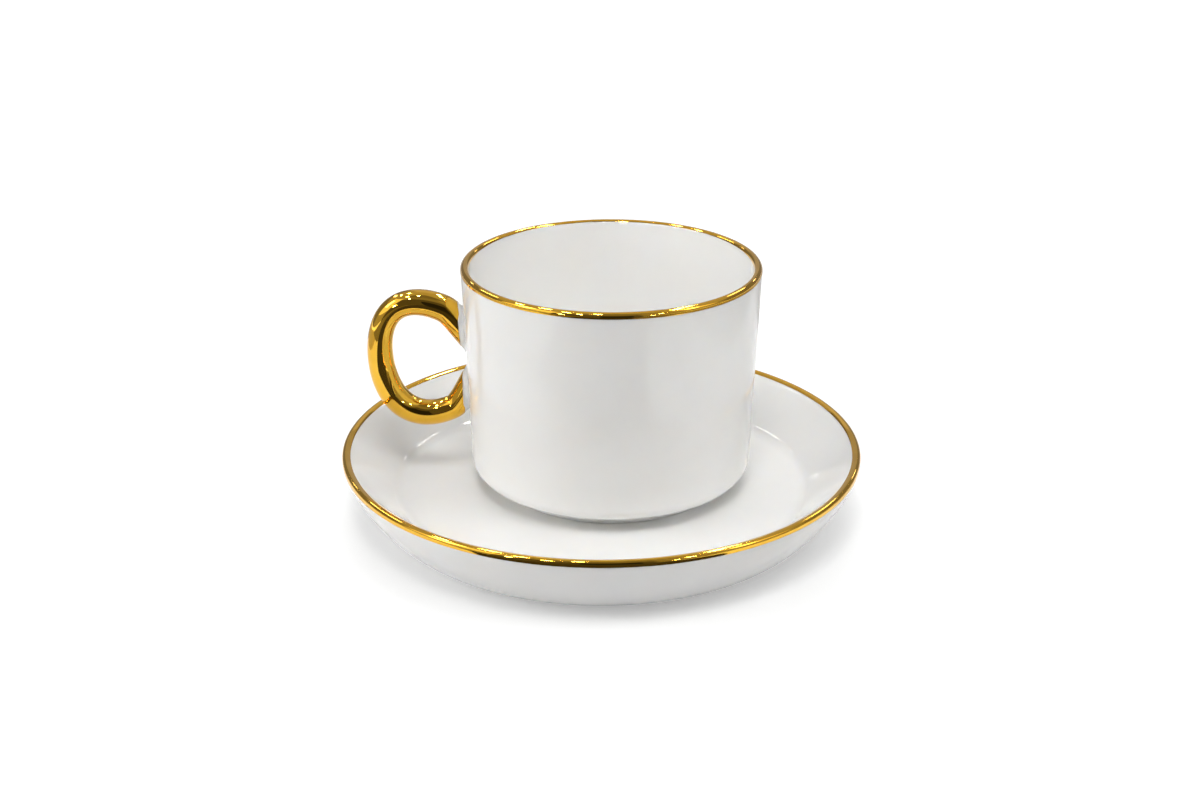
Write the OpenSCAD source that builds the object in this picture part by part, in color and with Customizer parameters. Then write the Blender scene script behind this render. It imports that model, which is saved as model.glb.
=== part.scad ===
// Teacup with a loop handle standing in a deep saucer, both porcelain with gilded rims.
// Millimetres, +Z up. The origin is on the table, at the middle of the saucer's foot.
// The handle points along -X.

/* [Cup] */
// Outer diameter at the lip
cup_rim_d = 82; // [70:0.5:95]
// Outer diameter of the wall where it would meet the foot's plane
cup_base_d = 78; // [66:0.2:90]
// Height from foot to lip
cup_h = 63.8; // [52:0.2:78]
// Thickness of the wall at the lip, which is fully rounded
cup_lip_t = 2.1; // [1.6:0.1:3.2]
// Thickness of the wall just above the base
cup_wall_t = 2.8; // [2.2:0.1:4]
// Thickness of the base within the foot ring
cup_floor_t = 4; // [3:0.1:5.5]
// Rounding of the heel, where the wall turns under
cup_heel_r = 4.3; // [2:0.1:6]
// Outer diameter of the foot ring
cup_foot_d = 62.4; // [54:0.2:68]
// Height of the foot ring below the heel
cup_foot_h = 3.6; // [2.2:0.1:5]
// Width of the foot ring
cup_foot_w = 3.2; // [2.4:0.1:4.5]
// Rounding of the foot ring's outer lower edge
cup_foot_edge_r = 0.5; // [0.2:0.05:1]
// Fillet between the foot ring and the underside of the heel
cup_foot_fillet_r = 1.6; // [0.6:0.1:2]
// Depth of the recess inside the foot ring
cup_recess_h = 2.6; // [1.2:0.1:3.4]
// Rounding between the wall and the base, inside
cup_inside_r = 6; // [4:0.5:12]

/* [Handle] */
// Thickness of the round loop
handle_t = 7; // [5.5:0.1:9]
// Overall height of the loop
handle_h = 39.8; // [34:0.2:46]
// Height of the loop's middle above the foot
handle_z = 36; // [31:0.2:40]
// How far the loop stands out from the cup's wall
handle_reach = 27.5; // [22:0.1:34]
// Distance of the loop's top and bottom from the wall
handle_stand = 12.3; // [9:0.1:15]
// Shift of the loop's top away from the wall, and of its bottom towards it
handle_lean = 1.1; // [0:0.1:2]
// How much fuller the loop is at its lower outer quarter, as a share of its thickness
handle_belly = 0.12; // [0:0.02:0.2]
// How far the upper root turns down towards the hole, as a share of the loop's half height
handle_tuck_top = 0.16; // [0:0.01:0.2]
// How far the lower root turns up towards the hole, as a share of the loop's half height
handle_tuck_low = 0.28; // [0:0.01:0.32]
// How deep the loop's inner side dips into the wall between the two roots
handle_root_sink = 1.6; // [1:0.1:2.4]

/* [Saucer] */
// Diameter over the rim
saucer_d = 144.7; // [132:0.1:160]
// Height from foot to rim
saucer_h = 21.9; // [19:0.1:27]
// Thickness of the rim, which is fully rounded
saucer_lip_t = 1.7; // [1.4:0.1:3]
// How far the rounded rim turns over towards the well, in degrees
saucer_lip_turn = 15; // [0:1:30]
// Radius of the shoulder that runs on from the rim into the flaring side
saucer_shoulder_r = 4; // [2:0.2:6]
// Depth of the well below the rim
well_h = 12.3; // [10:0.1:14]
// Diameter of the flat floor of the well
well_floor_d = 110; // [102:0.5:116]
// Radius of the cove between the floor and the flaring side
well_cove_r = 6; // [3:0.5:8]
// Thickness of the floor
saucer_floor_t = 4.2; // [3.5:0.1:6]
// Outer diameter of the foot ring
saucer_foot_d = 108; // [100:0.2:113]
// Width of the foot ring where it stands
saucer_foot_w = 3.4; // [2.4:0.1:6]
// Height of the foot ring below the heel of the outer curve
saucer_heel_z = 0.5; // [0.3:0.1:1]
// Length over which the outer curve runs level out of the foot
saucer_heel_pull = 8.2; // [6:0.1:13]
// Length over which the outer curve hangs upright below the rim
saucer_side_pull = 3.2; // [2:0.1:9]
// Draft of the recess under the floor, from its mouth to its top
saucer_recess_draft = 1.2; // [0.6:0.1:2.5]
// Rounding at the top of that recess
saucer_recess_r = 2; // [1:0.2:3.5]

/* [Gilding] */
// Thickness of the gilding
gold_t = 0.12; // [0.08:0.01:0.25]
// How far the cup's gilding runs below the rounded lip
cup_gold_drop = 0.36; // [0.2:0.02:3]
// How far the saucer's gilding runs down outside, below the rounded rim
saucer_gold_drop = 0.65; // [0.3:0.05:2]
// How far the saucer's gilding runs down inside, along the shoulder
saucer_gold_inner = 1.2; // [0.2:0.05:1.8]
// Bare porcelain between the handle's gilding and the cup's wall
handle_bare = 1.5; // [0.8:0.1:3]

/* [Placing of the cup on the saucer] */
// Shift of the cup from the saucer's middle, along X
cup_shift_x = 2.7; // [-6:0.1:6]
// Shift of the cup from the saucer's middle, along Y
cup_shift_y = 3.7; // [-6:0.1:6]

/* [Hidden] */

porcelain_colour = "#f4f3ee";
gold_colour = "#d9a520";

// Facets round the axis, and steps along each curve of a profile
$fn = 120;
lip_steps = 12;
fillet_steps = 8;
shoulder_steps = 4;
wall_steps = 16;
// Facets round the loop, rings along it, and the angle left open inside the wall at each root
loop_sides = 20;
loop_rings = 44;
loop_open = 20;
// Where along the loop the roots begin to turn and have turned, as cosines, and the step for its direction
root_start = 0.45;
root_full = 0.85;
way_step = 0.5;
// Margin by which a trimming solid passes the piece that it trims
trim = 10;

// Cup profile, with z measured from the foot
cup_lip_r = cup_lip_t / 2;
cup_lip_z = cup_h - cup_lip_r;
cup_rim_r = cup_rim_d / 2;
cup_base_r = cup_base_d / 2;
cup_taper = atan((cup_rim_r - cup_base_r) / cup_lip_z);
cup_floor_z = cup_recess_h + cup_floor_t;
function cup_outer_r(z) = cup_base_r + (cup_rim_r - cup_base_r) * z / cup_lip_z;
cup_heel_z = cup_foot_h + cup_heel_r;
cup_heel_c = [cup_outer_r(cup_heel_z) - cup_heel_r / cos(cup_taper), cup_heel_z];
cup_foot_r = cup_foot_d / 2;
cup_mouth_r = cup_foot_r - cup_foot_w;
foot_edge_c = [cup_foot_r - cup_foot_edge_r, cup_foot_edge_r];
foot_fillet_c = [cup_foot_r + cup_foot_fillet_r, cup_foot_h - cup_foot_fillet_r];
cup_inner_base_r = cup_base_r - cup_wall_t;
cup_inner_rim_r = cup_rim_r - cup_lip_t;
function cup_inner_r(z) = cup_inner_base_r + (cup_inner_rim_r - cup_inner_base_r) * z / cup_lip_z;
cup_inside_z = cup_floor_z + cup_inside_r;
cup_inside_c = cup_inner_r(cup_inside_z) - cup_inside_r;

// Saucer profile, with z measured from the table
saucer_r = saucer_d / 2;
saucer_lip_r = saucer_lip_t / 2;
saucer_lip_c = [saucer_r - saucer_lip_r, saucer_h - saucer_lip_r];
well_z = saucer_h - well_h;
well_cove_c = [well_floor_d / 2, well_z + well_cove_r];
lip_end = 90 + saucer_lip_turn;
shoulder_c = saucer_lip_c + (saucer_lip_r - saucer_shoulder_r) * [cos(lip_end), sin(lip_end)];
// The flaring side is the straight line that touches both the cove and the shoulder
side_run = shoulder_c - well_cove_c;
side_angle = atan2(side_run.y, side_run.x) + asin((well_cove_r + saucer_shoulder_r) / norm(side_run));
gold_end = lip_end + saucer_gold_inner / saucer_shoulder_r * 180 / PI;
wall_top = [saucer_r, saucer_lip_c.y - saucer_gold_drop];
saucer_foot_r = saucer_foot_d / 2;
saucer_recess_z = well_z - saucer_floor_t;
saucer_mouth_r = saucer_foot_r - saucer_foot_w;
saucer_recess_c = [saucer_mouth_r - saucer_recess_draft - saucer_recess_r, saucer_recess_z - saucer_recess_r];

// Handle loop: an ellipse drawn out towards the wall and leaned, with both roots turned towards the hole
loop_mid_x = -cup_outer_r(handle_z) - handle_stand;
loop_r = handle_t / 2;
loop_out = handle_reach - handle_stand - loop_r;
loop_in = handle_stand + loop_r + handle_root_sink;
loop_half = (loop_out + loop_in) / 2;
loop_draw = (loop_in - loop_out) / 2;
loop_rise = (handle_h - handle_t) / 2;
function eased(u) = let (v = min(1, max(0, u))) v * v * (3 - 2 * v);
function root_share(a) = eased((cos(a) - root_start) / (root_full - root_start));
function loop_tuck(a) = (sin(a) > 0 ? -handle_tuck_top : handle_tuck_low) * loop_rise * root_share(a);
function loop_at(a) = [
    loop_mid_x + loop_half * cos(a) + loop_draw * cos(a) * cos(a) - handle_lean * sin(a),
    handle_z + loop_rise * sin(a) + loop_tuck(a)
];
function loop_way(a) = loop_at(a + way_step) - loop_at(a - way_step);
function loop_radius(a) = loop_r * (1 + handle_belly * sin(a) * cos(a));
function loop_normal(a) = let (way = loop_way(a) / norm(loop_way(a))) [way.y, -way.x];
function loop_angle(i) = loop_open + (360 - 2 * loop_open) * i / (loop_rings - 1);

// One ring of the loop, its radius grown by the given thickness
function loop_ring(a, grown) = let (mid = loop_at(a), out = loop_normal(a), r = loop_radius(a) + grown) [
    for (k = [0 : loop_sides - 1])
        let (t = 360 * k / loop_sides)
        [mid.x + r * cos(t) * out.x, r * sin(t), mid.y + r * cos(t) * out.y]
];
function loop_points(grown) = [for (i = [0 : loop_rings - 1]) each loop_ring(loop_angle(i), grown)];
function side_step(k) = (k + 1) % loop_sides;
// Triangles along the loop, numbered from the given first point
function loop_skin(first) = [
    for (i = [0 : loop_rings - 2], k = [0 : loop_sides - 1])
        let (here = first + i * loop_sides, next = here + loop_sides)
        each [
            [here + k, next + k, next + side_step(k)],
            [here + k, next + side_step(k), here + side_step(k)]
        ]
];
// Triangles between an outer ring and an inner ring at one end of the loop
function end_skin(outer, inner) = [
    for (k = [0 : loop_sides - 1])
        each [
            [outer + k, outer + side_step(k), inner + side_step(k)],
            [outer + k, inner + side_step(k), inner + k]
        ]
];
function turned(faces) = [for (f = faces) [f[0], f[2], f[1]]];

// Points on an arc about a centre, and on a cubic curve
function arc(c, r, from, to, steps) = [
    for (i = [0 : steps])
        let (a = from + (to - from) * i / steps)
        c + r * [cos(a), sin(a)]
];
function cubic(p, q, s, t, steps) = [
    for (i = [0 : steps])
        let (u = i / steps, v = 1 - u)
        v * v * v * p + 3 * v * v * u * q + 3 * v * u * u * s + u * u * u * t
];

module in_cup_place() {
    translate([cup_shift_x, cup_shift_y, well_z]) children();
}

// Everything inside the cup's outer wall, grown outwards
module cup_envelope(grown) {
    rotate_extrude()
        polygon([
            [0, -trim],
            [cup_outer_r(-trim) + grown, -trim],
            [cup_outer_r(cup_h + trim) + grown, cup_h + trim],
            [0, cup_h + trim]
        ]);
}

module loop_solid() {
    last = (loop_rings - 1) * loop_sides;
    start_cap = [for (k = [0 : loop_sides - 1]) k];
    end_cap = [for (k = [loop_sides - 1 : -1 : 0]) last + k];
    polyhedron(points = loop_points(0), faces = concat(loop_skin(0), [start_cap], [end_cap]));
}

module loop_sleeve() {
    count = loop_rings * loop_sides;
    last = count - loop_sides;
    polyhedron(
        points = concat(loop_points(gold_t), loop_points(0)),
        faces = concat(
            loop_skin(0),
            turned(loop_skin(count)),
            end_skin(0, count),
            turned(end_skin(last, count + last))
        )
    );
}

module saucer() {
    color(porcelain_colour)
        rotate_extrude()
            polygon(concat(
                [[0, saucer_recess_z]],
                arc(saucer_recess_c, saucer_recess_r, 90, 0, fillet_steps),
                [[saucer_mouth_r, 0], [saucer_foot_r, 0]],
                cubic(
                    [saucer_foot_r, saucer_heel_z],
                    [saucer_foot_r + saucer_heel_pull, saucer_heel_z],
                    [saucer_r, wall_top.y - saucer_side_pull],
                    wall_top,
                    wall_steps
                ),
                arc(saucer_lip_c, saucer_lip_r, 0, lip_end, lip_steps),
                arc(shoulder_c, saucer_shoulder_r, lip_end, gold_end, shoulder_steps),
                arc(shoulder_c, saucer_shoulder_r, gold_end, 90 + side_angle, shoulder_steps),
                arc(well_cove_c, well_cove_r, side_angle - 90, -90, fillet_steps),
                [[0, well_z]]
            ));
}

module saucer_gold_rim() {
    color(gold_colour)
        rotate_extrude()
            polygon(concat(
                [wall_top],
                arc(saucer_lip_c, saucer_lip_r, 0, lip_end, lip_steps),
                arc(shoulder_c, saucer_shoulder_r, lip_end, gold_end, shoulder_steps),
                arc(shoulder_c, saucer_shoulder_r + gold_t, gold_end, lip_end, shoulder_steps),
                arc(saucer_lip_c, saucer_lip_r + gold_t, lip_end, 0, lip_steps),
                [wall_top + [gold_t, 0]]
            ));
}

module cup() {
    color(porcelain_colour)
        in_cup_place()
            rotate_extrude()
                polygon(concat(
                    [[0, cup_recess_h], [cup_mouth_r - cup_recess_h, cup_recess_h], [cup_mouth_r, 0]],
                    arc(foot_edge_c, cup_foot_edge_r, -90, 0, fillet_steps),
                    arc(foot_fillet_c, cup_foot_fillet_r, 180, 90, fillet_steps),
                    arc(cup_heel_c, cup_heel_r, -90, -cup_taper, fillet_steps),
                    arc([cup_rim_r - cup_lip_r, cup_lip_z], cup_lip_r, 0, 180, lip_steps),
                    arc([cup_inside_c, cup_inside_z], cup_inside_r, 0, -90, fillet_steps),
                    [[0, cup_floor_z]]
                ));
}

module cup_gold_rim() {
    lip_c = [cup_rim_r - cup_lip_r, cup_lip_z];
    end_z = cup_lip_z - cup_gold_drop;
    color(gold_colour)
        in_cup_place()
            rotate_extrude()
                polygon(concat(
                    [[cup_outer_r(end_z), end_z]],
                    arc(lip_c, cup_lip_r, 0, 180, lip_steps),
                    [[cup_inner_r(end_z), end_z], [cup_inner_r(end_z) - gold_t, end_z]],
                    arc(lip_c, cup_lip_r + gold_t, 180, 0, lip_steps),
                    [[cup_outer_r(end_z) + gold_t, end_z]]
                ));
}

module handle() {
    color(porcelain_colour)
        in_cup_place()
            difference() {
                loop_solid();
                cup_envelope(0);
            }
}

module handle_gold() {
    color(gold_colour)
        in_cup_place()
            difference() {
                loop_sleeve();
                cup_envelope(handle_bare);
            }
}

saucer();
saucer_gold_rim();
cup();
cup_gold_rim();
handle();
handle_gold();
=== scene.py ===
"""A porcelain teacup with a gilded loop handle, standing in a deep saucer, on a pale studio floor."""

import math

import bpy
import numpy as np
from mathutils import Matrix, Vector


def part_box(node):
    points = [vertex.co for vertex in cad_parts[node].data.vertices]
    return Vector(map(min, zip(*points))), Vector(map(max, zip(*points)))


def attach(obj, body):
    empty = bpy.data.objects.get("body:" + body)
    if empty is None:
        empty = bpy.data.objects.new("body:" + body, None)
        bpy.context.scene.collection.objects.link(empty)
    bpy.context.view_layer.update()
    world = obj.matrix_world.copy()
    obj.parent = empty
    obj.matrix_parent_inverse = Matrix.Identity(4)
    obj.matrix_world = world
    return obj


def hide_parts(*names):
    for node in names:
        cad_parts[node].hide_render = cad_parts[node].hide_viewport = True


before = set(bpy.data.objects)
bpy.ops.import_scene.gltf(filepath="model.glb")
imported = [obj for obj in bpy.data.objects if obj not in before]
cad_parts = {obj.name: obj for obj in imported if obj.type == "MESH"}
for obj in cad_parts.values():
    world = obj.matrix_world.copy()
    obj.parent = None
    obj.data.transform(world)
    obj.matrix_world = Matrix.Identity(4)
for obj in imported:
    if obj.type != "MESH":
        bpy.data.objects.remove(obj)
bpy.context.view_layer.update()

MM = 0.001

# Camera of the photograph, in millimetres and degrees
CAMERA_PLACE = (-0.375, -449.73, 223.87)
CAMERA_PITCH = 22.848
CAMERA_LENS = 52.458

# Cup, measured from its axis and foot, in millimetres
CUP_RIM_R = 41.0
CUP_BASE_R = 39.0
CUP_H = 63.8
CUP_LIP_T = 2.1
CUP_WALL_T = 2.8
CUP_FLOOR_T = 4.0
CUP_HEEL_R = 4.3
CUP_FOOT_R = 31.2
CUP_FOOT_H = 3.6
CUP_FOOT_W = 3.2
CUP_FOOT_EDGE_R = 0.5
CUP_FOOT_FILLET_R = 1.6
CUP_RECESS_H = 2.6
CUP_INSIDE_R = 6.0

# The cup's gilding: how far it comes down outside, and in degrees over the lip where it ends inside
# and by how much it stops short of that at the back
CUP_GOLD_DROP = 0.36
CUP_GOLD_END = 180
CUP_GOLD_SHORT = 42

# Saucer, measured from its axis and the table, in millimetres
SAUCER_R = 72.35
SAUCER_H = 21.9
SAUCER_LIP_T = 1.7
SAUCER_LIP_TURN = 15.0
SAUCER_SHOULDER_R = 4.0
WELL_H = 12.3
WELL_FLOOR_R = 55.0
WELL_COVE_R = 6.0
SAUCER_FLOOR_T = 4.2
SAUCER_FOOT_R = 54.0
SAUCER_FOOT_W = 3.4
SAUCER_HEEL_Z = 0.5
SAUCER_HEEL_PULL = 8.2
SAUCER_SIDE_PULL = 3.2
SAUCER_RECESS_DRAFT = 1.2
SAUCER_RECESS_R = 2.0
SAUCER_GOLD_DROP = 0.65
SAUCER_GOLD_INNER = 1.2

# Handle loop, measured from the cup's axis and foot, in millimetres and degrees
HANDLE_T = 7.0
HANDLE_H = 39.8
HANDLE_Z = 36.0
HANDLE_REACH = 27.5
HANDLE_STAND = 12.3
HANDLE_LEAN = 1.1
HANDLE_BELLY = 0.12
HANDLE_TUCK_TOP = 0.16
HANDLE_TUCK_LOW = 0.28
HANDLE_ROOT_SINK = 1.6
HANDLE_ROOT_START = 0.45
HANDLE_ROOT_FULL = 0.85
HANDLE_ROOT_FILLET = 1.2
HANDLE_OPEN = 20.0
HANDLE_BARE = 1.5

# Gilding, in millimetres: thickness, and how deep its back lies in the glaze
GOLD_T = 0.12
GOLD_BACK = 0.06

# Wavering end of the handle's gilding: its size in millimetres,
# and its waves as share, count round the loop and phase in radians
GOLD_WAVER = 0.12
GOLD_WAVES = ((1.0, 3, 0.6), (0.6, 5, 2.1), (0.4, 9, 0.0))

# Edges that are ground or wiped by hand, in millimetres: their rounding,
# and the height below which they are bare of glaze
EDGE_R = 0.4
BARE_H = 0.02

# Mesh density, and the angle in degrees from which an edge is shaded sharp
SHARP_ANGLE = 50
TURN_STEPS = 224
ARC_STEPS = 20
LONGEST_STEP = 1.4
LOOP_STEPS = 260
LOOP_SIDES = 96

# Lengths in millimetres below this count as nothing
TINY = 1e-6

# The part of its range that a noise texture mostly keeps to
NOISE_LOW = 0.3
NOISE_HIGH = 0.7


def on_circle(centre, radius, angle):
    """The point of a circle at an angle in degrees."""
    angle = math.radians(angle)
    return (centre[0] + radius * math.cos(angle), centre[1] + radius * math.sin(angle))


def arc(centre, radius, start, end, steps=ARC_STEPS):
    """Points on an arc about a centre, between two angles in degrees."""
    return [on_circle(centre, radius, angle) for angle in np.linspace(start, end, steps + 1)]


def cubic(p, q, s, t, steps=2 * ARC_STEPS):
    """Points on a cubic curve with two end points and two pulls."""
    points = []
    for u in np.linspace(0, 1, steps + 1):
        v = 1 - u
        shares = ((v ** 3, p), (3 * v * v * u, q), (3 * v * u * u, s), (u ** 3, t))
        points.append(tuple(sum(share * corner[i] for share, corner in shares) for i in (0, 1)))
    return points


def spaced(outline, longest=LONGEST_STEP):
    """The outline with its long stretches cut into short even steps."""
    points = [outline[0]]
    for here, there in zip(outline, outline[1:]):
        gap = math.dist(here, there)
        if gap < TINY:
            continue
        count = max(1, math.ceil(gap / longest))
        for i in range(1, count + 1):
            points.append(tuple(a + (b - a) * i / count for a, b in zip(here, there)))
    return points


def make_piece(name, points, faces, materials, face_material=None):
    """A smooth mesh object from points in metres."""
    mesh = bpy.data.meshes.new(name)
    mesh.from_pydata([tuple(p) for p in points], [], faces)
    for material in materials:
        mesh.materials.append(material)
    mesh.polygons.foreach_set("use_smooth", [True] * len(mesh.polygons))
    if face_material is not None:
        mesh.polygons.foreach_set("material_index", face_material)
    mesh.validate()
    mesh.set_sharp_from_angle(angle=math.radians(SHARP_ANGLE))
    mesh.update()
    piece = bpy.data.objects.new(name, mesh)
    bpy.context.scene.collection.objects.link(piece)
    return piece


def turned_rings(outline, outline_at):
    """Points of an outline turned about an upright axis, and the numbers of the points in each ring."""
    turns = [2 * math.pi * k / TURN_STEPS for k in range(TURN_STEPS)]
    outlines = [outline_at(angle) if outline_at else outline for angle in turns]
    points = []
    rings = []
    for i, (radius, height) in enumerate(outline):
        if radius < TINY:
            rings.append([len(points)])
            points.append((0.0, 0.0, height))
            continue
        rings.append(list(range(len(points), len(points) + TURN_STEPS)))
        for angle, line in zip(turns, outlines):
            radius, height = line[i]
            points.append((radius * math.cos(angle), radius * math.sin(angle), height))
    return points, rings


def ring_faces(low, high):
    """Faces between two rings, one of which may be a single point on the axis."""
    faces = []
    for k in range(TURN_STEPS):
        n = (k + 1) % TURN_STEPS
        if len(low) == 1:
            faces.append((low[0], high[n], high[k]))
        elif len(high) == 1:
            faces.append((low[k], low[n], high[0]))
        else:
            faces.append((low[k], low[n], high[n], high[k]))
    return faces


def revolve(name, outline, place, materials, closed=False, bare=None, outline_at=None):
    """Turns an outline of (radius, height) about an upright axis.

    bare tells at which heights a face takes the second material.
    outline_at gives the outline at an angle, where it varies.
    """
    points, rings = turned_rings(outline, outline_at)
    pairs = list(zip(range(len(rings)), range(1, len(rings))))
    if closed:
        pairs.append((len(rings) - 1, 0))
    faces = []
    chosen = []
    for i, j in pairs:
        between = ring_faces(rings[i], rings[j])
        height = (outline[i][1] + outline[j][1]) / 2
        index = 1 if bare is not None and bare(height) else 0
        faces += between
        chosen += [index] * len(between)
    moved = [Vector(p) * MM + place for p in points]
    return make_piece(name, moved, faces, materials, chosen)


# Node helpers for the materials

def new_material(name):
    """A new material, its node tree and its shader."""
    material = bpy.data.materials.new(name)
    material.use_nodes = True
    tree = material.node_tree
    shader = tree.nodes["Principled BSDF"]
    return material, tree, shader


def add_node(tree, kind, **values):
    """A node with its properties and unlinked inputs set by name."""
    node = tree.nodes.new(kind)
    for key, value in values.items():
        if hasattr(node, key):
            setattr(node, key, value)
        else:
            node.inputs[key.replace("_", " ").title()].default_value = value
    return node


def noise(tree, place, scale, detail=2.0, stretch=(1, 1, 1)):
    """A noise texture over the object's own coordinates, drawn out by stretch."""
    mapping = add_node(tree, "ShaderNodeMapping")
    mapping.inputs["Scale"].default_value = stretch
    tree.links.new(place.outputs["Object"], mapping.inputs["Vector"])
    texture = add_node(tree, "ShaderNodeTexNoise", scale=scale, detail=detail)
    tree.links.new(mapping.outputs["Vector"], texture.inputs["Vector"])
    return texture.outputs["Fac"]


def ramp(tree, value, low, high):
    """A noise value mapped from its usual range to two colours."""
    node = tree.nodes.new("ShaderNodeValToRGB")
    stops = ((NOISE_LOW, low), (NOISE_HIGH, high))
    for element, (position, colour) in zip(node.color_ramp.elements, stops):
        element.position = position
        element.color = (*colour, 1.0)
    tree.links.new(value, node.inputs["Fac"])
    return node.outputs["Color"]


def spread(tree, value, low, high):
    """A noise value mapped from its usual range to two numbers."""
    node = add_node(tree, "ShaderNodeMapRange")
    node.inputs["From Min"].default_value = NOISE_LOW
    node.inputs["From Max"].default_value = NOISE_HIGH
    node.inputs["To Min"].default_value = low
    node.inputs["To Max"].default_value = high
    tree.links.new(value, node.inputs["Value"])
    return node.outputs["Result"]


def bump(tree, height, depth, strength, below=None):
    """A bump of the given depth in metres, over another bump if there is one."""
    node = add_node(tree, "ShaderNodeBump")
    node.inputs["Strength"].default_value = strength
    node.inputs["Distance"].default_value = depth
    tree.links.new(height, node.inputs["Height"])
    if below is not None:
        tree.links.new(below, node.inputs["Normal"])
    return node.outputs["Normal"]


def porcelain_material():
    """White body under a clear gloss glaze that pooled a little unevenly."""
    material, tree, shader = new_material("glazed_porcelain")
    place = add_node(tree, "ShaderNodeTexCoord")
    cloud = noise(tree, place, scale=55.0, detail=3.0)
    tint = ramp(tree, cloud, low=(0.908, 0.90, 0.878), high=(0.932, 0.927, 0.912))
    tree.links.new(tint, shader.inputs["Base Color"])
    polish = noise(tree, place, scale=140.0)
    tree.links.new(spread(tree, polish, low=0.015, high=0.035), shader.inputs["Roughness"])
    shader.inputs["IOR"].default_value = 1.5
    shader.inputs["Subsurface Weight"].default_value = 0.35
    shader.inputs["Subsurface Radius"].default_value = (1.0, 0.9, 0.75)
    shader.inputs["Subsurface Scale"].default_value = 0.002
    pool = noise(tree, place, scale=90.0, detail=1.0)
    peel = noise(tree, place, scale=700.0, detail=1.0)
    waves = bump(tree, pool, depth=0.0003, strength=0.06)
    skin = bump(tree, peel, depth=0.00003, strength=0.05, below=waves)
    tree.links.new(skin, shader.inputs["Normal"])
    return material


def biscuit_material():
    """Bare porcelain where the standing ring was wiped clean of glaze."""
    material, tree, shader = new_material("bare_biscuit")
    place = add_node(tree, "ShaderNodeTexCoord")
    grit = noise(tree, place, scale=2600.0, detail=4.0)
    tint = ramp(tree, grit, low=(0.66, 0.645, 0.61), high=(0.76, 0.75, 0.72))
    tree.links.new(tint, shader.inputs["Base Color"])
    tree.links.new(spread(tree, grit, low=0.65, high=0.85), shader.inputs["Roughness"])
    skin = bump(tree, grit, depth=0.00008, strength=0.6)
    tree.links.new(skin, shader.inputs["Normal"])
    return material


def gold_material():
    """Fired gold lustre: bright metal with faint brush streaks and a slightly uneven coat."""
    material, tree, shader = new_material("gold_lustre")
    place = add_node(tree, "ShaderNodeTexCoord")
    coat = noise(tree, place, scale=170.0, detail=3.0)
    tint = ramp(tree, coat, low=(0.80, 0.44, 0.032), high=(0.88, 0.51, 0.045))
    tree.links.new(tint, shader.inputs["Base Color"])
    shader.inputs["Metallic"].default_value = 1.0
    shader.inputs["Coat Weight"].default_value = 0.4
    shader.inputs["Coat Roughness"].default_value = 0.04
    shader.inputs["Coat IOR"].default_value = 1.5
    streak = noise(tree, place, scale=900.0, detail=2.0, stretch=(0.25, 1, 0.25))
    tree.links.new(spread(tree, streak, low=0.03, high=0.08), shader.inputs["Roughness"])
    pool = noise(tree, place, scale=120.0, detail=1.0)
    waves = bump(tree, pool, depth=0.0003, strength=0.12)
    skin = bump(tree, streak, depth=0.00001, strength=0.15, below=waves)
    tree.links.new(skin, shader.inputs["Normal"])
    return material


PORCELAIN = porcelain_material()
BISCUIT = biscuit_material()
GOLD = gold_material()


def foot_middle(low, high):
    """Middle of a box at its foot."""
    return Vector(((low.x + high.x) / 2, (low.y + high.y) / 2, low.z))


# Where the frame holds the two loose pieces
CUP_PLACE = foot_middle(*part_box("cup"))
SAUCER_PLACE = foot_middle(*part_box("saucer"))


def is_bare(height):
    """Whether a height is on the standing ring, which was wiped clean of glaze."""
    return height < BARE_H


def band_outline(surface):
    """Closed outline of gilding over a lip, whose line surface gives, moved outwards by a distance."""
    return surface(GOLD_T) + surface(-GOLD_BACK)[::-1]


# Cup

CUP_LIP_R = CUP_LIP_T / 2
CUP_LIP_Z = CUP_H - CUP_LIP_R
CUP_LIP_C = (CUP_RIM_R - CUP_LIP_R, CUP_LIP_Z)
CUP_FLOOR_Z = CUP_RECESS_H + CUP_FLOOR_T
CUP_TAPER = math.atan((CUP_RIM_R - CUP_BASE_R) / CUP_LIP_Z)


def cup_outer_r(z):
    """Radius of the cup's outer wall at a height above the foot."""
    return CUP_BASE_R + (CUP_RIM_R - CUP_BASE_R) * z / CUP_LIP_Z


def cup_inner_r(z):
    """Radius of the cup's inner wall at a height above the foot."""
    base = CUP_BASE_R - CUP_WALL_T
    return base + (CUP_RIM_R - CUP_LIP_T - base) * z / CUP_LIP_Z


def cup_outline():
    """From the middle of the recess, under the foot, over the lip and down to the inside floor."""
    heel_z = CUP_FOOT_H + CUP_HEEL_R
    heel_c = (cup_outer_r(heel_z) - CUP_HEEL_R / math.cos(CUP_TAPER), heel_z)
    mouth_r = CUP_FOOT_R - CUP_FOOT_W
    foot_c = (CUP_FOOT_R - CUP_FOOT_EDGE_R, CUP_FOOT_EDGE_R)
    fillet_c = (CUP_FOOT_R + CUP_FOOT_FILLET_R, CUP_FOOT_H - CUP_FOOT_FILLET_R)
    inside_z = CUP_FLOOR_Z + CUP_INSIDE_R
    inside_c = cup_inner_r(inside_z) - CUP_INSIDE_R
    return (
        [(0.0, CUP_RECESS_H), (mouth_r - CUP_RECESS_H, CUP_RECESS_H)]
        + arc((mouth_r, EDGE_R), EDGE_R, 225, 270)
        + arc(foot_c, CUP_FOOT_EDGE_R, -90, 0)
        + arc(fillet_c, CUP_FOOT_FILLET_R, 180, 90)
        + arc(heel_c, CUP_HEEL_R, -90, -math.degrees(CUP_TAPER))
        + arc(CUP_LIP_C, CUP_LIP_R, 0, 180)
        + arc((inside_c, inside_z), CUP_INSIDE_R, 0, -90)
        + [(0.0, CUP_FLOOR_Z)]
    )


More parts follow.
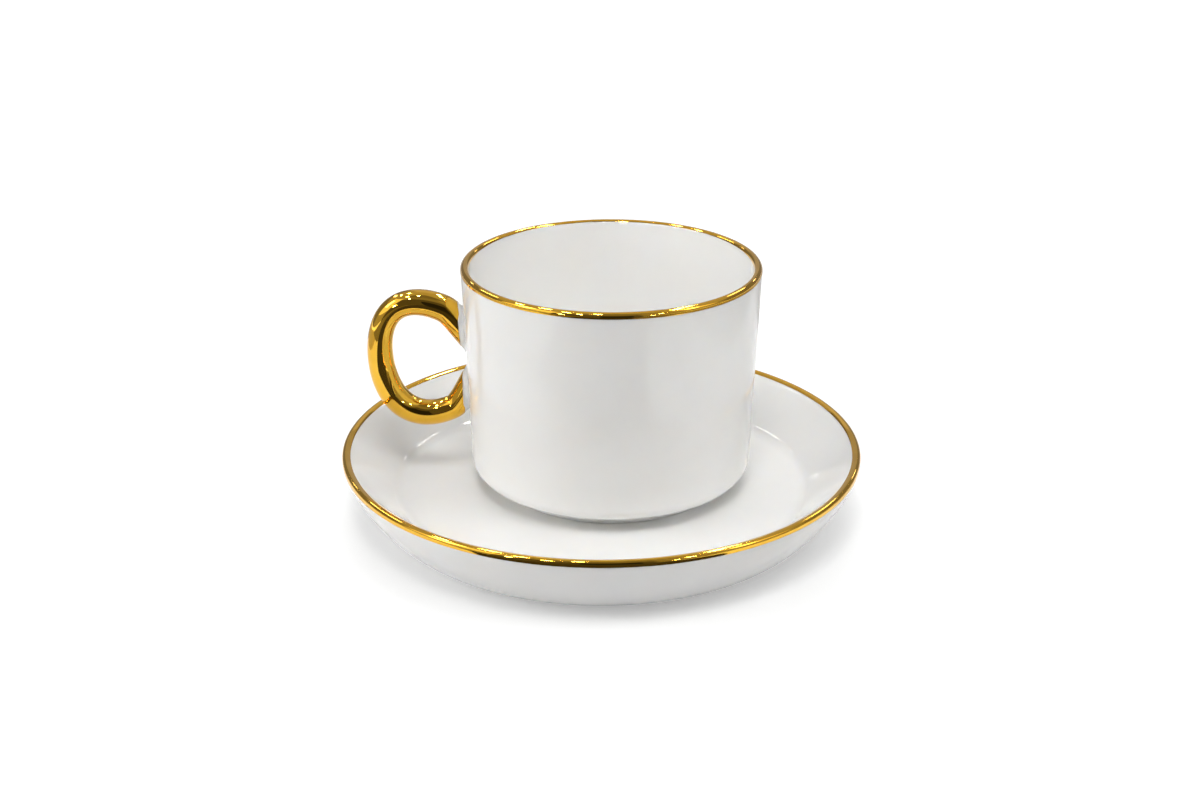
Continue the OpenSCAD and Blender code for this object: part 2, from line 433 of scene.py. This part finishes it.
def cup_lip(out, angle=0.0):
    """The cup's gilded lip at an angle, from its outer to its inner end, moved outwards.

    The band was drawn a little off centre, so that it ends higher on the inside at the back.
    """
    end_z = CUP_LIP_Z - CUP_GOLD_DROP
    end = CUP_GOLD_END - CUP_GOLD_SHORT * max(0.0, math.sin(angle))
    return [(cup_outer_r(end_z) + out, end_z)] + arc(CUP_LIP_C, CUP_LIP_R + out, 0, end)


def cup_band(angle=0.0):
    """Closed outline of the cup's gilding at an angle."""
    return band_outline(lambda out: cup_lip(out, angle))


def build_cup():
    """The porcelain cup."""
    outline = spaced(cup_outline())
    body = revolve("cup_porcelain", outline, CUP_PLACE, [PORCELAIN, BISCUIT], bare=is_bare)
    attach(body, "cup")
    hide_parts("cup")


def build_cup_gilding():
    """The gilding on the cup's lip."""
    band = revolve(
        "cup_gilding", cup_band(), CUP_PLACE, [GOLD], closed=True, outline_at=cup_band
    )
    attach(band, "cup")
    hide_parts("cup_gold_rim")


# Saucer

SAUCER_LIP_R = SAUCER_LIP_T / 2
SAUCER_LIP_C = (SAUCER_R - SAUCER_LIP_R, SAUCER_H - SAUCER_LIP_R)
WELL_Z = SAUCER_H - WELL_H
WELL_COVE_C = (WELL_FLOOR_R, WELL_Z + WELL_COVE_R)
LIP_END = 90 + SAUCER_LIP_TURN
SHOULDER_C = on_circle(SAUCER_LIP_C, SAUCER_LIP_R - SAUCER_SHOULDER_R, LIP_END)
GOLD_END = LIP_END + math.degrees(SAUCER_GOLD_INNER / SAUCER_SHOULDER_R)
SIDE_RUN = (SHOULDER_C[0] - WELL_COVE_C[0], SHOULDER_C[1] - WELL_COVE_C[1])
SIDE_ANGLE = math.degrees(
    math.atan2(SIDE_RUN[1], SIDE_RUN[0])
    + math.asin((WELL_COVE_R + SAUCER_SHOULDER_R) / math.hypot(*SIDE_RUN))
)


def saucer_outline():
    """From the middle of the recess, under the foot, over the rim and down to the floor."""
    recess_z = WELL_Z - SAUCER_FLOOR_T
    mouth_r = SAUCER_FOOT_R - SAUCER_FOOT_W
    recess_c = (mouth_r - SAUCER_RECESS_DRAFT - SAUCER_RECESS_R, recess_z - SAUCER_RECESS_R)
    wall_top = (SAUCER_R, SAUCER_LIP_C[1] - SAUCER_GOLD_DROP)
    return (
        [(0.0, recess_z)]
        + arc(recess_c, SAUCER_RECESS_R, 90, 0)
        + arc((mouth_r + EDGE_R, EDGE_R), EDGE_R, 180, 270)
        + arc((SAUCER_FOOT_R - EDGE_R, EDGE_R), EDGE_R, 270, 345)
        + cubic(
            (SAUCER_FOOT_R, SAUCER_HEEL_Z),
            (SAUCER_FOOT_R + SAUCER_HEEL_PULL, SAUCER_HEEL_Z),
            (SAUCER_R, wall_top[1] - SAUCER_SIDE_PULL),
            wall_top,
        )
        + arc(SAUCER_LIP_C, SAUCER_LIP_R, 0, LIP_END)
        + arc(SHOULDER_C, SAUCER_SHOULDER_R, LIP_END, 90 + SIDE_ANGLE)
        + arc(WELL_COVE_C, WELL_COVE_R, SIDE_ANGLE - 90, -90)
        + [(0.0, WELL_Z)]
    )


def saucer_lip(out):
    """The saucer's gilded rim, from its outer end to its end on the shoulder, moved outwards."""
    return (
        [(SAUCER_R + out, SAUCER_LIP_C[1] - SAUCER_GOLD_DROP)]
        + arc(SAUCER_LIP_C, SAUCER_LIP_R + out, 0, LIP_END)
        + arc(SHOULDER_C, SAUCER_SHOULDER_R + out, LIP_END, GOLD_END)[1:]
    )


def build_saucer():
    """The porcelain saucer."""
    outline = spaced(saucer_outline())
    body = revolve("saucer_porcelain", outline, SAUCER_PLACE, [PORCELAIN, BISCUIT], bare=is_bare)
    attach(body, "saucer")
    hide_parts("saucer")


def build_saucer_gilding():
    """The gilding on the saucer's rim."""
    outline = band_outline(saucer_lip)
    band = revolve("saucer_gilding", outline, SAUCER_PLACE, [GOLD], closed=True)
    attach(band, "saucer")
    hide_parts("saucer_gold_rim")


# Handle

LOOP_R = HANDLE_T / 2
LOOP_MID_X = -cup_outer_r(HANDLE_Z) - HANDLE_STAND
LOOP_OUT = HANDLE_REACH - HANDLE_STAND - LOOP_R
LOOP_IN = HANDLE_STAND + LOOP_R + HANDLE_ROOT_SINK
LOOP_HALF = (LOOP_OUT + LOOP_IN) / 2
LOOP_DRAW = (LOOP_IN - LOOP_OUT) / 2
LOOP_RISE = (HANDLE_H - HANDLE_T) / 2
LOOP_ROWS = LOOP_STEPS + 1
LOOP_TURNS = np.linspace(0, 2 * math.pi, LOOP_SIDES, endpoint=False)

# Angles of the loop's top and bottom in degrees
LOOP_TOP = 90.0
LOOP_BOTTOM = 270.0

# Step in radians for the loop's direction, and how often the search for its ends halves its range
WAY_STEP = math.radians(0.5)
HALVINGS = 40


def loop_middle(angle):
    """Middle line of the loop, whose two roots turn towards the hole."""
    c, s = np.cos(angle), np.sin(angle)
    share = np.clip((c - HANDLE_ROOT_START) / (HANDLE_ROOT_FULL - HANDLE_ROOT_START), 0, 1)
    tuck = np.where(s > 0, -HANDLE_TUCK_TOP, HANDLE_TUCK_LOW) * share * share * (3 - 2 * share)
    return (
        LOOP_MID_X + LOOP_HALF * c + LOOP_DRAW * c * c - HANDLE_LEAN * s,
        HANDLE_Z + LOOP_RISE * (s + tuck),
    )


def loop_point(angle, turn, grown=0.0):
    """A point on the loop's skin and its outward direction, at an angle along and a turn about it."""
    mid_x, mid_z = loop_middle(angle)
    ahead, behind = loop_middle(angle + WAY_STEP), loop_middle(angle - WAY_STEP)
    way_x, way_z = ahead[0] - behind[0], ahead[1] - behind[1]
    length = np.hypot(way_x, way_z)
    side = np.cos(turn)
    out = np.stack([side * way_z / length, np.sin(turn), -side * way_x / length], -1)
    radius = LOOP_R * (1 + HANDLE_BELLY * np.sin(angle) * np.cos(angle)) + grown
    middle = np.stack([mid_x, 0 * mid_x, mid_z], -1)
    return middle + radius[..., None] * out, out


def wall_gap(points):
    """Distance of points outside the cup's wall."""
    return np.hypot(points[..., 0], points[..., 1]) - cup_outer_r(points[..., 2])


def loop_ends(turns, gap, grown):
    """Angles at which each line along the loop is a gap from the wall, at the upper and lower root."""
    ends = []
    for inside, outside in ((HANDLE_OPEN, LOOP_TOP), (360.0 - HANDLE_OPEN, LOOP_BOTTOM)):
        low = np.full_like(turns, math.radians(inside))
        high = np.full_like(turns, math.radians(outside))
        for _ in range(HALVINGS):
            middle = (low + high) / 2
            out = wall_gap(loop_point(middle, turns, grown)[0]) > gap
            high = np.where(out, middle, high)
            low = np.where(out, low, middle)
        ends.append((low + high) / 2)
    return ends


def loop_grid(gap, grown):
    """Skin of the loop between its roots as a grid of points, and its outward directions."""
    start, end = loop_ends(LOOP_TURNS, gap, grown)
    share = (1 - np.cos(np.linspace(0, math.pi, LOOP_ROWS))) / 2
    angle = start + (end - start) * share[:, None]
    return loop_point(angle, LOOP_TURNS[None, :] + 0 * angle, grown)


def filleted(points, out, fillet):
    """The loop's skin with a fillet where it meets the wall."""
    near = np.clip(wall_gap(points), 0, fillet)
    lift = fillet - np.sqrt(np.maximum(0, fillet ** 2 - (fillet - near) ** 2))
    wall = points * (1, 1, 0) / np.hypot(points[..., 0], points[..., 1])[..., None]
    along = out - (out * wall).sum(-1, keepdims=True) * wall
    points = points + lift[..., None] * along
    for ring in (0, -1):
        radius = np.hypot(points[ring, :, 0], points[ring, :, 1])
        points[ring, :, :2] *= (cup_outer_r(points[ring, :, 2]) / radius)[:, None]
    return points


def loop_faces(first=0, turned=False):
    """Quads of the loop's grid, whose points count from first, facing inwards if turned."""
    faces = []
    for row in range(first, first + LOOP_STEPS * LOOP_SIDES, LOOP_SIDES):
        above = row + LOOP_SIDES
        for k in range(LOOP_SIDES):
            n = (k + 1) % LOOP_SIDES
            face = (row + k, row + n, above + n, above + k)
            faces.append(face[::-1] if turned else face)
    return faces


def on_cup(*grids):
    """Points of grids in metres, at the cup's place."""
    return [Vector(p) * MM + CUP_PLACE for grid in grids for p in grid.reshape(-1, 3)]


def build_handle():
    """The porcelain loop, closed by a cap at each root."""
    skin = filleted(*loop_grid(0.0, 0.0), HANDLE_ROOT_FILLET)
    last = LOOP_STEPS * LOOP_SIDES
    caps = [tuple(range(LOOP_SIDES))[::-1], tuple(range(last, last + LOOP_SIDES))]
    body = make_piece("handle_porcelain", on_cup(skin), loop_faces() + caps, [PORCELAIN])
    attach(body, "cup")
    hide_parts("handle")


def build_handle_gilding():
    """The gilding on the loop, which ends short of the wall in a hand-drawn edge."""
    waves = sum(share * np.sin(count * LOOP_TURNS + phase) for share, count, phase in GOLD_WAVES)
    gap = HANDLE_BARE + GOLD_WAVER * waves
    face, _ = loop_grid(gap, GOLD_T)
    back, _ = loop_grid(gap, -GOLD_BACK)
    count = LOOP_ROWS * LOOP_SIDES
    faces = loop_faces() + loop_faces(count, turned=True)
    last = count - LOOP_SIDES
    for k in range(LOOP_SIDES):
        n = (k + 1) % LOOP_SIDES
        faces.append((k, count + k, count + n, n))
        faces.append((last + k, last + n, count + last + n, count + last + k))
    coat = make_piece("handle_gilding", on_cup(face, back), faces, [GOLD])
    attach(coat, "cup")
    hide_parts("handle_gold")


# Studio

# Floor: half its width in metres, and its colour
FLOOR_HALF = 4.0
FLOOR_COLOUR = (0.72, 0.72, 0.72)

# How much the floor glows to the eye near the saucer and far from it, and these distances in metres
FLOOR_GLOW = 0.36
FLOOR_FAR_GLOW = 1.0
FLOOR_NEAR = 0.2
FLOOR_FAR = 1.0

# Even fill of light from the sky
SKY_COLOUR = (1.0, 0.995, 0.985)
SKY_FILL = 0.01

# Soft lamps: place in metres, width in metres, power in watts
SOFT_LAMPS = {
    "top": ((0.0, 0.1, 1.5), 0.8, 3.6),
    "top_front": ((-0.05, -0.72, 1.27), 0.42, 7.0),
    "top_right": ((0.435, -0.365, 1.114), 0.5, 3.4),
    "top_back": ((0.0, 0.9, 1.2), 0.9, 5.0),
    "left": ((-1.3, -0.2, 0.55), 0.9, 10.5),
    "right": ((1.3, -0.2, 0.55), 0.9, 4.4),
}

# Where they aim, in metres, and their full spread in degrees
AIM = (0.0, 0.0, 0.03)
FULL_SPREAD = 180

# A narrow lamp through the cup's mouth on its far inside wall: metres, watts and degrees
SNOOT_PLACE = (0.0027, -0.33, 0.56)
SNOOT_AIM = (0.0027, 0.042, 0.070)
SNOOT_SIZE = 0.03
SNOOT_POWER = 0.0022
SNOOT_SPREAD = 9

# The room that the gold and the glaze mirror: its colour, the step of its walls in degrees,
# and the corners of its round lamps
ROOM_COLOUR = (1.0, 0.965, 0.92)
PATCH_STEP = 6
DISC_STEPS = 20

# Its walls: turns from the front and rises in degrees, reach in metres, brightness
ROOM = {
    "front": ((-30, 30), (-3, 62), 1.8, 0.27),
    "front_left": ((-92, -30), (-3, 62), 1.8, 0.42),
    "front_right": ((30, 92), (-3, 62), 1.8, 0.38),
    "left_low": ((-165, -92), (-3, 34), 1.8, 0.22),
    "left_high": ((-165, -92), (34, 62), 1.8, 0.46),
    "right_low": ((92, 165), (-3, 34), 1.8, 0.23),
    "right_high": ((92, 165), (34, 62), 1.8, 0.48),
    "back_low": ((165, 195), (-3, 28), 1.8, 0.42),
    "back_high": ((165, 195), (28, 62), 1.8, 0.64),
    "ceiling_front": ((-60, 60), (62, 89), 1.8, 0.20),
    "ceiling_back": ((60, 300), (62, 89), 1.8, 0.50),
    "figure_edge": ((-44, 22), (-3, 46), 0.95, 0.10),
    "figure": ((-8, 16), (-3, 30), 0.9, 0.02),
    "window_left": ((-88, -44), (14, 52), 1.6, 1.3),
    "window_right": ((58, 88), (25, 56), 1.6, 1.2),
    "lamp_left": ((-80, -68), (28, 46), 1.5, 9.0),
    "lamp_right": ((68, 76), (38, 50), 1.5, 9.0),
    "screen": ((-32, -20), (-2, 8), 1.5, 1.5),
}

# Shaded stretches of the table in that room: left to right, front to back and height in metres,
# brightness
TABLE = {
    "table_front": ((-0.60, 0.60), (-1.70, -0.16), 0.001, 0.26),
    "table_dark": ((-0.11, 0.06), (-0.35, -0.085), 0.003, 0.06),
    "table_far": ((-0.16, 0.30), (-1.00, -0.25), 0.002, 0.05),
    "table_left": ((-0.80, -0.22), (-0.16, 0.14), 0.001, 0.65),
    "table_right": ((0.17, 0.80), (-0.16, 0.14), 0.001, 0.40),
    "table_back": ((-0.80, 0.80), (0.14, 1.00), 0.001, 0.55),
}

# Small lamps in that room: turn and rise in degrees, reach and radius in metres, brightness
SPOTS = [
    (-37, 21, 0.85, 0.03, 80.0),
    (40, 36, 1.4, 0.045, 80.0),
    (-28, 50, 1.4, 0.045, 80.0),
    (30, 13, 1.4, 0.03, 80.0),
    (-120, 56, 1.4, 0.05, 80.0),
    (-56, 65, 1.4, 0.05, 80.0),
    (-22, 75, 1.4, 0.05, 80.0),
    (104, 66, 1.4, 0.05, 80.0),
    (139, 63, 1.4, 0.05, 80.0),
    (160, 51, 1.4, 0.05, 80.0),
    (-134, 65, 1.4, 0.05, 80.0),
    (-127, 43.5, 1.4, 0.055, 12.0),
    (-131, 40.5, 1.4, 0.055, 12.0),
    (-135, 37, 1.4, 0.055, 12.0),
    (141, 42, 1.4, 0.055, 10.0),
    (144, 39, 1.4, 0.055, 10.0),
    (147, 36, 1.4, 0.055, 10.0),
    (-146, 29, 1.4, 0.04, 9.0),
    (151, 26, 1.4, 0.04, 9.0),
]


def empty_tree(owner):
    """The cleared node tree of a material or a world."""
    owner.use_nodes = True
    owner.node_tree.nodes.clear()
    return owner.node_tree


def seen_mask(tree):
    """1 for camera, glossy and transmission rays, 0 for the rays that carry light."""
    path = tree.nodes.new("ShaderNodeLightPath")
    total = path.outputs["Is Camera Ray"]
    for name in ("Is Glossy Ray", "Is Transmission Ray"):
        node = add_node(tree, "ShaderNodeMath", operation="MAXIMUM")
        tree.links.new(total, node.inputs[0])
        tree.links.new(path.outputs[name], node.inputs[1])
        total = node.outputs["Value"]
    return total


def floor_material():
    """Pale floor that keeps the shadow near the saucer and fades out to plain white to the eye."""
    material = bpy.data.materials.new("studio_floor")
    tree = empty_tree(material)
    matt = add_node(tree, "ShaderNodeBsdfDiffuse")
    matt.inputs["Color"].default_value = (*FLOOR_COLOUR, 1)
    glow = add_node(tree, "ShaderNodeEmission")
    place = add_node(tree, "ShaderNodeTexCoord")
    distance = add_node(tree, "ShaderNodeVectorMath", operation="LENGTH")
    tree.links.new(place.outputs["Object"], distance.inputs[0])
    fade = add_node(tree, "ShaderNodeMapRange")
    limits = (FLOOR_NEAR, FLOOR_FAR, FLOOR_GLOW, FLOOR_FAR_GLOW)
    for socket, limit in zip(("From Min", "From Max", "To Min", "To Max"), limits):
        fade.inputs[socket].default_value = limit
    tree.links.new(distance.outputs["Value"], fade.inputs["Value"])
    scale = add_node(tree, "ShaderNodeMath", operation="MULTIPLY")
    tree.links.new(seen_mask(tree), scale.inputs[0])
    tree.links.new(fade.outputs["Result"], scale.inputs[1])
    tree.links.new(scale.outputs["Value"], glow.inputs["Strength"])
    both = add_node(tree, "ShaderNodeAddShader")
    tree.links.new(matt.outputs["BSDF"], both.inputs[0])
    tree.links.new(glow.outputs["Emission"], both.inputs[1])
    output = add_node(tree, "ShaderNodeOutputMaterial")
    tree.links.new(both.outputs["Shader"], output.inputs["Surface"])
    return material


def build_floor():
    """One wide plane under the saucer's foot."""
    mesh = bpy.data.meshes.new("studio_floor")
    points, faces = level_panel((-FLOOR_HALF, FLOOR_HALF), (-FLOOR_HALF, FLOOR_HALF), 0.0)
    mesh.from_pydata(points, [], faces)
    mesh.materials.append(floor_material())
    floor = bpy.data.objects.new("studio_floor", mesh)
    bpy.context.scene.collection.objects.link(floor)


def build_world():
    """White to the eye, and a weaker even fill for the light itself."""
    world = bpy.data.worlds.new("studio")
    bpy.context.scene.world = world
    tree = empty_tree(world)
    fill = add_node(tree, "ShaderNodeBackground")
    fill.inputs["Color"].default_value = (*SKY_COLOUR, 1)
    fill.inputs["Strength"].default_value = SKY_FILL
    white = add_node(tree, "ShaderNodeBackground")
    white.inputs["Color"].default_value = (1, 1, 1, 1)
    white.inputs["Strength"].default_value = 1.0
    mix = add_node(tree, "ShaderNodeMixShader")
    tree.links.new(seen_mask(tree), mix.inputs["Fac"])
    tree.links.new(fill.outputs["Background"], mix.inputs[1])
    tree.links.new(white.outputs["Background"], mix.inputs[2])
    output = add_node(tree, "ShaderNodeOutputWorld")
    tree.links.new(mix.outputs["Shader"], output.inputs["Surface"])


def lamp(name, place, size, power, aim=AIM, cone=FULL_SPREAD):
    """A flat square lamp that mirrors do not show."""
    data = bpy.data.lights.new(name, "AREA")
    data.spread = math.radians(cone)
    data.size = size
    data.energy = power
    holder = bpy.data.objects.new(name, data)
    holder.location = place
    way = Vector(aim) - Vector(place)
    holder.rotation_euler = way.to_track_quat("-Z", "Y").to_euler()
    holder.visible_glossy = False
    bpy.context.scene.collection.objects.link(holder)


def toward(turn, rise, reach):
    """A place seen from the origin at a turn from the front to the right and a rise, in degrees."""
    turn, rise = math.radians(turn), math.radians(rise)
    run = reach * math.cos(rise)
    return (run * math.sin(turn), -run * math.cos(turn), reach * math.sin(rise))


def card_material(name, strength):
    """Glow of a panel, which ends where a ray has met a matt surface, so that it lights nothing."""
    material = bpy.data.materials.new(name)
    tree = empty_tree(material)
    glow = add_node(tree, "ShaderNodeEmission")
    glow.inputs["Color"].default_value = (*ROOM_COLOUR, 1)
    path = tree.nodes.new("ShaderNodeLightPath")
    direct = add_node(tree, "ShaderNodeMath", operation="LESS_THAN")
    direct.inputs[1].default_value = 0.5
    tree.links.new(path.outputs["Diffuse Depth"], direct.inputs[0])
    scale = add_node(tree, "ShaderNodeMath", operation="MULTIPLY")
    scale.inputs[1].default_value = strength
    tree.links.new(direct.outputs["Value"], scale.inputs[0])
    tree.links.new(scale.outputs["Value"], glow.inputs["Strength"])
    output = add_node(tree, "ShaderNodeOutputMaterial")
    tree.links.new(glow.outputs["Emission"], output.inputs["Surface"])
    return material


def reflection_card(name, shape, strength):
    """A panel that only mirror-like surfaces see, as the dim room stands round a lit table."""
    mesh = bpy.data.meshes.new(name)
    points, faces = shape
    mesh.from_pydata(points, [], faces)
    mesh.materials.append(card_material(name, strength))
    card = bpy.data.objects.new(name, mesh)
    bpy.context.scene.collection.objects.link(card)
    card.visible_camera = False
    card.visible_diffuse = False
    card.visible_shadow = False
    card.visible_transmission = False
    card.visible_volume_scatter = False


def disc(centre, radius):
    """A disc that faces the origin, as points and a face."""
    turned = Vector(centre).to_track_quat("-Z", "Y")
    corners = []
    for k in range(DISC_STEPS):
        angle = 2 * math.pi * k / DISC_STEPS
        corner = Vector((radius * math.cos(angle), radius * math.sin(angle), 0))
        corners.append(tuple(Vector(centre) + turned @ corner))
    return corners, [tuple(range(DISC_STEPS))]


def patch(turns, rises, reach):
    """A piece of a sphere about the origin, between two turns and two rises in degrees."""
    across = max(1, math.ceil((turns[1] - turns[0]) / PATCH_STEP))
    upward = max(1, math.ceil((rises[1] - rises[0]) / PATCH_STEP))
    points = [
        toward(turn, rise, reach)
        for rise in np.linspace(*rises, upward + 1)
        for turn in np.linspace(*turns, across + 1)
    ]
    row = across + 1
    faces = [
        (j * row + i, j * row + i + 1, (j + 1) * row + i + 1, (j + 1) * row + i)
        for j in range(upward)
        for i in range(across)
    ]
    return points, faces


def level_panel(xs, ys, z):
    """A level rectangle, as points and a face."""
    points = [(xs[0], ys[0], z), (xs[1], ys[0], z), (xs[1], ys[1], z), (xs[0], ys[1], z)]
    return points, [(0, 1, 2, 3)]


def build_lights():
    """Soft lamps all round, a narrow one into the cup, and the dim room that the gold mirrors."""
    for name, (place, size, power) in SOFT_LAMPS.items():
        lamp(name, place, size, power)
    lamp("snoot", SNOOT_PLACE, SNOOT_SIZE, SNOOT_POWER, aim=SNOOT_AIM, cone=SNOOT_SPREAD)
    for name, (turns, rises, reach, strength) in ROOM.items():
        reflection_card(name, patch(turns, rises, reach), strength)
    for name, (xs, ys, z, strength) in TABLE.items():
        reflection_card(name, level_panel(xs, ys, z), strength)
    for i, (turn, rise, reach, radius, strength) in enumerate(SPOTS):
        reflection_card(f"spot_{i}", disc(toward(turn, rise, reach), radius), strength)


def build_camera():
    """The photograph's own viewpoint."""
    data = bpy.data.cameras.new("camera")
    data.lens = CAMERA_LENS
    camera = bpy.data.objects.new("camera", data)
    camera.location = Vector(CAMERA_PLACE) * MM
    camera.rotation_euler = (math.radians(90 - CAMERA_PITCH), 0, 0)
    bpy.context.scene.collection.objects.link(camera)
    bpy.context.scene.camera = camera


build_camera()
build_cup()
build_cup_gilding()
build_saucer()
build_saucer_gilding()
build_handle()
build_handle_gilding()
build_floor()
build_world()
build_lights()
bpy.context.scene.view_settings.view_transform = "Standard"
